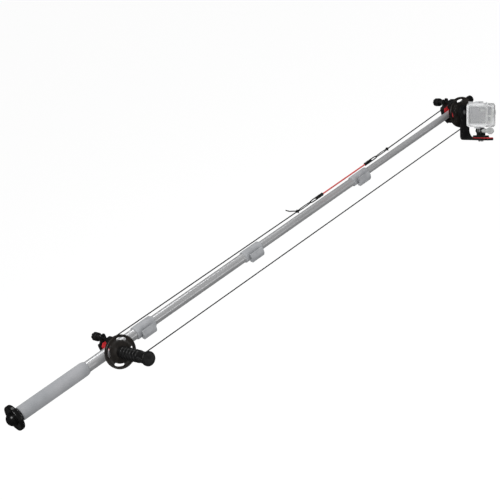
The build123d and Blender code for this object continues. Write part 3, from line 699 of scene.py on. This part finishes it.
# %% Hooks and elastic
BARREL_R, BARREL_LENGTH = 3.9, 22.0
CRIMP_R = 3.45
BARREL = eased([(0, 0), (2.9, 0), (BARREL_R, 0.9), (BARREL_R, 4.4), (CRIMP_R, 5.2), (CRIMP_R, 6.8),
                (BARREL_R, 7.6), (BARREL_R, 14.2), (CRIMP_R, 15.0), (CRIMP_R, 16.6), (BARREL_R, 17.4),
                (BARREL_R, 20.6), (2.7, BARREL_LENGTH), (0, BARREL_LENGTH)], 0.7)


def pinch(angle, station, radius):
    """Two dents from the crimping tool, front and back, in the middle of the barrel."""
    along = np.exp(-(((station - 10.9) / 2.3) ** 4))
    return -0.55 * along * np.clip(np.abs(np.cos(angle)) * 1.6 - 0.75, 0, 1) * (radius > 3)


for end, x, way in (("near", ELASTIC_LOW, -1), ("far", ELASTIC_HIGH, 1)):
    start = (x, CORD_Y, TENSION_Z)
    place(turned(f"hook_barrel_{end}", BARREL, start, (way, 0, 0), pinch, 48), "elastic_hooks")
    wire = evenly(loop_line(x + way * 12, x + way * (HOOK_LENGTH - WIRE_R), 6.0, HOOK_SPREAD, 0.5), 0.5)
    place(carried(f"hook_wire_{end}", wire, EYE_SPREAD, lambda a, s: WIRE_R + 0 * a, 12), "elastic_hooks")

elastic_path = evenly([(ELASTIC_LOW - 3, CORD_Y, TENSION_Z), (ELASTIC_HIGH + 3, CORD_Y, TENSION_Z)], 0.4)
place(carried("elastic_sheath", elastic_path, UP, woven(1.8, 6, 9.0, 0.12), around=24), "elastic")
print("elastic", round(ELASTIC_HIGH - ELASTIC_LOW, 1), "mm long")

# %% [markdown]
# ## The pole
#
# The butt cap is a rubber mushroom: a dome to push against the body, a dished disc that stops the
# hand, and a plug inside the tube.  It is one turned profile.

# %% Butt cap
DOME_R, DOME_X = 15.5, -107.5
DISC_R = box_mm("butt_cap")[1][2]
dome_angle = np.linspace(0, np.pi / 2, 26)
dome = np.stack([DOME_R * np.sin(dome_angle), DOME_X - DOME_R * np.cos(dome_angle)], -1)
disc = eased([(DOME_R, DOME_X), (16.2, -107.0), (18.5, -106.4), (21.5, -106.6), (25.0, -107.4),
              (27.9, -108.7), (29.2, -108.3), (DISC_R, -106.8), (DISC_R, -100.4), (29.0, -98.2),
              (27.0, -97.0), (17.0, -97.0), (15.6, -96.4), (15.3, -90.0), (11.5, -90.0), (11.5, -75.0),
              (0, -75.0)], 1.6, steps=5)
place(turned("butt_cap_rubber", np.vstack([dome, disc]), (0, 0, 0), (1, 0, 0), around=128), "butt_cap")

# %% [markdown]
# The foam grip is a sleeve.  Its outer end rolls over, and the end by the first clamp has a soft
# shoulder.  Foam is never quite round or straight, so slow waves of a few hundredths of a
# millimetre keep its highlight alive.

# %% Foam grip
GRIP_R, TUBE_R = 16.2, 12.5
grip_low, grip_high = box_mm("foam_grip")[0][0], box_mm("foam_grip")[1][0]
body = np.stack([np.full(60, GRIP_R), np.linspace(grip_low + 4, grip_high - 12, 60)], -1)
grip = np.vstack([[(TUBE_R, grip_low), (15.0, grip_low), (15.9, grip_low + 1.2)], body,
                  [(16.1, grip_high - 8.5), (15.4, grip_high - 4.5), (14.4, grip_high - 1.4),
                   (13.4, grip_high), (TUBE_R, grip_high)]])


def pressed(angle, station, radius):
    """Slow waves round and along the sleeve, only on its outside."""
    wave = np.sin(3 * angle + station / 17) + np.sin(2 * angle - station / 29) + np.sin(station / 11)
    return -0.05 * (1 + wave / 3) * (radius > TUBE_R + 0.5)


place(turned("foam_grip_sleeve", eased(grip, 1.0, loop=True), (0, 0, 0), (1, 0, 0), pressed, 96), "foam_grip")

# %% [markdown]
# The tubes and their slide bushes are already true tubes, so they keep their meshes and only take a
# finish.  The flip locks keep their shape too, with rounded edges.

# %% Flip locks and tip cap
for lock in (1, 2, 3):
    softened(f"lock_collar_{lock}", 0.45)
    softened(f"lock_lever_{lock}", 0.6, segments=3)
tip_low, tip_high = box_mm("tip_cap")[0][0], box_mm("tip_cap")[1][0]
TIP_BORE, TIP_R = 8.0, 9.6
tip_floor = tip_high - 14.5
tip = eased([(TIP_BORE, tip_low), (9.0, tip_low), (TIP_R, tip_low + 1), (TIP_R, tip_low + 26),
             (9.1, tip_high - 2.6), (7.6, tip_high - 0.8), (4.0, tip_high), (0, tip_high),
             (0, tip_floor), (TIP_BORE, tip_floor)], 1.4, loop=True)
place(turned("tip_cap_rubber", tip, (0, 0, 0), (1, 0, 0), around=64), "tip_cap")

# %% [markdown]
# ## The pole clamps
#
# Each clamp has a fixed saddle, a swinging jaw and a lobed knob that pulls them together.  The
# castings are softened copies.  The knob is turned, and a relief function cuts its eight finger
# scallops: the radius falls where a cosine of eight times the angle is high.

# %% Clamps and knobs
KNOB_LENGTH, NECK = 29.0, 11.5
KNOB_R, NECK_R, STUD_R = 9.8, 5.2, 3.0
SCALLOP = 0.95


def scallops(angle, station, radius):
    """Eight rounded grooves along the head, fading out at its ends."""
    head = np.clip((station + KNOB_LENGTH - NECK - 0.6) / 1.2, 0, 1)
    groove = np.clip(np.cos(8 * angle), 0, 1) ** 1.5
    return -SCALLOP * groove * head * (radius > NECK_R + 1.5)


for clamp in ("near", "far"):
    softened(f"{clamp}_clamp_body", 0.5)
    softened(f"{clamp}_clamp_jaw", 0.6)
    softened(f"{clamp}_clamp_pad", 0.25)
    softened(f"{clamp}_jaw_pad", 0.25)
    low, high = box_mm(f"{clamp}_clamp_knob")
    front = low[1] - high[1]
    knob = eased([(0, front), (STUD_R, front), (STUD_R, -KNOB_LENGTH), (NECK_R, -KNOB_LENGTH + 0.1),
                  (NECK_R, NECK - KNOB_LENGTH), (KNOB_R - 0.9, NECK - KNOB_LENGTH),
                  (KNOB_R, NECK - KNOB_LENGTH + 1.4), (KNOB_R, -7.0), (KNOB_R, -2.2), (KNOB_R - 1.6, 0),
                  (3.4, 0), (2.8, -0.6), (0, -0.6)], 0.8)
    end = middle(f"{clamp}_clamp_knob") * (1, 0, 1) + (0, high[1], 0)
    place(turned(f"{clamp}_knob_lobed", knob, end, (0, 1, 0), scallops, 96), f"{clamp}_clamp_knob")

# %% [markdown]
# ## Wheels and handle
#
# The wheels are dished mouldings with four kidney slots and a groove for the cord.  Their slots make
# them hard to write as one sheet, so they are softened copies.

# %% Wheels
for wheel in ("control_wheel", "camera_wheel"):
    softened(wheel, 0.45, angle=30, segments=3)

# %% [markdown]
# The handle is a hollow rubber grip: six finger ribs, a smooth waist and a flared end.  The ribs
# come from one loop, and the flare ends in a flat disc with a fine moulded ring.

# %% Handle grip
RIB_FIRST, RIB_PITCH, RIBS = 50.0, 12.55, 6
GRIP_BACK, BORE_R, BORE_END, HANDLE_END, FLARE_R = 47.0, 9.0, 148.0, 156.4, 16.2
ribs = np.array([(13.3, -0.6), (14.0, 1.4), (14.0, 5.6), (13.3, 7.4), (12.2, 8.6), (12.2, RIB_PITCH - 1.6)])
outline = [(BORE_R, GRIP_BACK), (12.4, GRIP_BACK)]
for rib in range(RIBS):
    outline += [(r, RIB_FIRST + rib * RIB_PITCH + s) for r, s in ribs]
outline += [(12.8, RIB_FIRST + RIBS * RIB_PITCH), (12.7, 133), (13.2, 140), (14.3, 146.5), (15.5, 150.2),
            (FLARE_R, 152.4), (FLARE_R, HANDLE_END - 1.0), (FLARE_R - 1.3, HANDLE_END),
            (14.0, HANDLE_END), (13.6, HANDLE_END - 0.35), (13.0, HANDLE_END - 0.35),
            (12.6, HANDLE_END - 0.1), (0, HANDLE_END - 0.3), (0, BORE_END), (BORE_R, BORE_END)]
handle = turned("handle_rubber", eased(outline, 0.9, loop=True), (NEAR_X, 0, 0), (0, -1, 0), around=96)
place(handle, "handle_grip")

# %% [markdown]
# ## The camera end
#
# Everything beyond the far wheel leans with the camera, so it is thought out upright: `across` points
# through the lens, `out` away from the pole and `up` through the case.  `leaned` turns those three
# into the pole's own directions.

# %% The leaning frame
LEAN = radians(27.1)
CASE_ACROSS, CASE_OUT, CASE_UP = -4.5, 112.0, -6.5
ACROSS = np.array((np.cos(LEAN), 0, -np.sin(LEAN)))
UPRIGHT = np.array((np.sin(LEAN), 0, np.cos(LEAN)))


def leaned(across, out, up):
    """Wheel centre + across * ACROSS - out * Y + up * UPRIGHT, for whole arrays."""
    across, out, up = np.broadcast_arrays(across, out, up)
    point = across[..., None] * ACROSS + up[..., None] * UPRIGHT
    return point + np.stack([0 * out + FAR_X, -out, 0 * out], -1)


# %% [markdown]
# The bracket, its rubber pad, the three-leaf mount, the winged screw and the clear case are softened
# copies: their shapes are plates and boxes, and rounded edges are what they lacked.

# %% Bracket, mount and case
softened("camera_bracket", 0.7, segments=3)
softened("foot_pad", 0.3)
softened("three_prong_mount", 0.4)
softened("thumb_screw", 0.5, segments=3)
softened("case_shell", 0.8, segments=3)
softened("case_door", 0.7, segments=3)
softened("case_latch", 0.35)
softened("camera_body", 0.5)

# %% [markdown]
# The buttons are small domes on stems.  A shallow ring round each dome is where the seal sits.

# %% Buttons
BUTTON = eased([(0, -4.0), (3.0, -4.0), (3.0, 2.6), (2.4, 3.1), (2.3, 2.9), (2.0, 3.5), (1.2, 3.9),
                (0, 4.0)], 0.4)
top = middle("shutter_button")
place(turned("shutter_dome", BUTTON, top, UPRIGHT, around=40), "shutter_button")
side = middle("mode_button")
place(turned("mode_dome", BUTTON * (1, 0.575), side, ACROSS, around=40), "mode_button")

# %% [markdown]
# The lens barrel steps down in rings to a domed front glass.  It is one turned profile, from the
# barrel's back, over its rim and down to the middle of the dome.

# %% Lens
PORT_OUT, PORT_UP = 14.0, 6.0
LENS_BACK, LENS_FRONT, LENS_R = 9.6, 17.4, 11.5
rings = [(0, LENS_BACK), (LENS_R, LENS_BACK), (LENS_R, LENS_FRONT - 1.0), (LENS_R - 0.9, LENS_FRONT),
         (LENS_R - 2.0, LENS_FRONT), (LENS_R - 2.4, LENS_FRONT - 1.2), (LENS_R - 3.6, LENS_FRONT - 1.4),
         (LENS_R - 4.0, LENS_FRONT - 2.6), (LENS_R - 5.0, LENS_FRONT - 2.8)]
sweep = np.linspace(1, 0, 12)
glass = np.stack([(LENS_R - 5.2) * sweep, LENS_FRONT - 2.9 + 1.9 * (1 - sweep**2)], -1)
barrel = np.vstack([eased(rings, 0.35), glass])
lens_centre = leaned(CASE_ACROSS, CASE_OUT + PORT_OUT, CASE_UP + PORT_UP)
place(turned("lens_barrel", barrel, lens_centre, ACROSS, around=80), "camera_lens")

# %% [markdown]
# The camera shows through the case.  Its covers and windows are thin slabs with rounded corners: a
# grid of rings grows from the middle of a slab to its rim, and the surface drops there.  A `relief`
# function adds a bezel or a finger dent.

# %% A thin rounded slab
BODY_AT = np.array((0.2, 0.0, 0.0))
BODY_DEEP, BODY_WIDE = 18.8, 59.0


def step(value, soft=0.25):
    """0 below zero and 1 above it, with a smooth slope about `soft` millimetres wide."""
    return 1 / (1 + np.exp(np.clip(-value / soft * 4, -60, 60)))


def inside(a, b, ca, cb, wide, high):
    """1 inside a rectangle and 0 outside it."""
    return step(wide / 2 - np.abs(a - ca)) * step(high / 2 - np.abs(b - cb))


def thin_slab(name, centre, u, normal, size, rise, slot, corner=0.22, relief=None):
    """centre + a * u + b * UPRIGHT + height * normal, where a and b are ring * half size *
    sign(c) |c|^corner of a turn's cosine and sine, and height falls at the rim as sqrt(1 - ring^30)."""
    ring, turn = np.linspace(0, 1, 70)[:, None], np.linspace(0, tau, 145)[None, :]
    a = ring * size[0] / 2 * np.sign(np.cos(turn)) * np.abs(np.cos(turn)) ** corner
    b = ring * size[1] / 2 * np.sign(np.sin(turn)) * np.abs(np.sin(turn)) ** corner
    height = (rise + (relief(a, b) if relief else 0)) * np.sqrt(np.clip(1 - ring**30, 0, 1))
    flat = np.asarray(centre, float) + a[..., None] * np.asarray(u, float) + b[..., None] * UPRIGHT
    normal = np.asarray(normal, float)
    piece = skin(name, np.vstack([flat + height[..., None] * normal, (flat - 0.1 * normal)[::-1]]), crease=60)
    dress(piece, slot)
    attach(piece, BODY_OF["camera_body"])
    return piece


# %% [markdown]
# The back has a bezel, a long catch and a small one.  The outboard side has a pale cover with a
# grey port door in its upper half and a round port below it.

# %% Back panel and side cover
def bezel(a, b):
    """A shallow groove 0.7 mm wide just inside the rim, and a finger dent by the hinge."""
    groove = inside(a, b, 0, 0, 47.4, 30.4) - inside(a, b, 0, 0, 46, 29)
    return -0.18 * groove - 0.2 * inside(a, b, 19.5, 0, 3.2, 12)


def on_back(across, y, v):
    return leaned(CASE_ACROSS + BODY_AT[0] - BODY_DEEP / 2 - across, CASE_OUT - y, CASE_UP + v)


def on_side(out, w, v):
    return leaned(CASE_ACROSS + w, CASE_OUT + BODY_WIDE / 2 + out, CASE_UP + v)


OUTBOARD, TOWARDS_POLE = np.array((0, -1.0, 0)), np.array((0, 1.0, 0))
PANEL = 0.4
thin_slab("camera_back_panel", on_back(0, 0, 0), TOWARDS_POLE, -ACROSS, (55, 37), PANEL, "camera_grey",
          relief=bezel)
for catch, y, v, size in (("long", -17.0, 11.4, (14, 3.6)), ("small", -19.5, -15.6, (10, 1.8))):
    thin_slab(f"back_catch_{catch}", on_back(PANEL, y, v), TOWARDS_POLE, -ACROSS, size, 0.25,
              "knob_grey", 0.5)
thin_slab("side_cover", on_side(0, 0.2, 0), ACROSS, OUTBOARD, (18.6, 40.6), 0.7, "bush_white")
thin_slab("side_door", on_side(0.7, -0.8, 9.6), ACROSS, OUTBOARD, (12.0, 19.6), 0.4, "camera_grey")
thin_slab("side_port", on_side(0.7, -1.5, -9.1), ACROSS, OUTBOARD, (8.0, 11.0), 0.4, "camera_grey", 0.8)

# %% [markdown]
# ## Finishes for the parts that stay
#
# Tubes, bushes, axles, washers, screws and the lens window keep their own meshes.

# %% Dress what is left
for node, part in NODES.items():
    if not part.hide_render:
        for slot in part.material_slots:
            slot.material = FINISH[SLOT_OF[node]]
print("kept as they are:", sorted(node for node, part in NODES.items() if not part.hide_render))

# %% [markdown]
# ## The studio
#
# The object floats well above a glowing white floor, so the ground stays clean.  An even sky lights
# everything.  Reflections see a far darker sky, as they would with black cards round a product, so
# that blacks stay black; only the small lamps draw highlights.

# %% Floor, sky and lamps
FLOOR_Z, FLOOR_HALF = -0.75, 30.0
SKY, GLOSSY_SKY = 0.66, 0.05
span = np.linspace(-FLOOR_HALF, FLOOR_HALF, 3) / MM
flat = np.stack([*np.meshgrid(span, span, indexing="ij"), np.full((3, 3), FLOOR_Z / MM)], -1)
floor = skin("floor", flat)
paper = bpy.data.materials.new("paper")
paper.use_nodes = True
paper.node_tree.nodes["Principled BSDF"].inputs["Base Color"].default_value = (0.3, 0.3, 0.3, 1)
paper.node_tree.nodes["Principled BSDF"].inputs["Roughness"].default_value = 0.9
paper.node_tree.nodes["Principled BSDF"].inputs["Emission Color"].default_value = (1, 1, 1, 1)
paper.node_tree.nodes["Principled BSDF"].inputs["Emission Strength"].default_value = 0.78
floor.data.materials.append(paper)
floor.visible_glossy = floor.visible_diffuse = False

world = bpy.data.worlds.new("studio")
bpy.context.scene.world = world
world.use_nodes = True
sky = world.node_tree.nodes["Background"]
sky.inputs["Color"].default_value = (1, 1, 1, 1)
ray = world.node_tree.nodes.new("ShaderNodeLightPath").outputs
mirrored = sums(world.node_tree, "SUBTRACT", ray["Is Glossy Ray"], ray["Is Transmission Ray"])
world.node_tree.links.new(spread(world.node_tree, mirrored, 0, 1, SKY, GLOSSY_SKY), sky.inputs["Strength"])

MIDDLE = Vector((0.55, -0.03, 0.0))


def lamp(name, place_at, aim, size, power):
    """A square soft box that looks at `aim`."""
    light = bpy.data.lights.new(name, "AREA")
    light.shape, light.size, light.energy = "SQUARE", size, power
    holder = bpy.data.objects.new(name, light)
    holder.location = place_at
    holder.rotation_euler = (Vector(aim) - Vector(place_at)).to_track_quat("-Z", "Y").to_euler()
    bpy.context.scene.collection.objects.link(holder)


lamp("key", (-1.2, -1.6, 2.3), MIDDLE, 1.3, 42)
lamp("top", (0.9, 0.4, 2.3), MIDDLE, 1.0, 10)
lamp("low", (1.5, -2.6, -0.7), MIDDLE, 0.9, 5)

# %% [markdown]
# ## The camera
#
# A long lens from above and to the left, rolled so that the pole climbs steeply across the frame.

# %% Camera
AIM, DISTANCE = Vector((0.554, -0.030, 0.0185)), 3.661
AZIMUTH, ELEVATION, ROLL = radians(-28.86), radians(19.81), radians(-24.36)
view = bpy.data.objects.new("camera", bpy.data.cameras.new("camera"))
bpy.context.scene.collection.objects.link(view)
view.data.lens, view.data.sensor_width = 117.4, 36
turn_to = Matrix.Rotation(AZIMUTH, 4, "Z") @ Matrix.Rotation(radians(90) - ELEVATION, 4, "X")
view.matrix_world = Matrix.Translation(AIM) @ turn_to @ Matrix.Translation((0, 0, DISTANCE))
view.matrix_world = view.matrix_world @ Matrix.Rotation(ROLL, 4, "Z")
bpy.context.scene.camera = view
bpy.context.scene.view_settings.view_transform = "Standard"
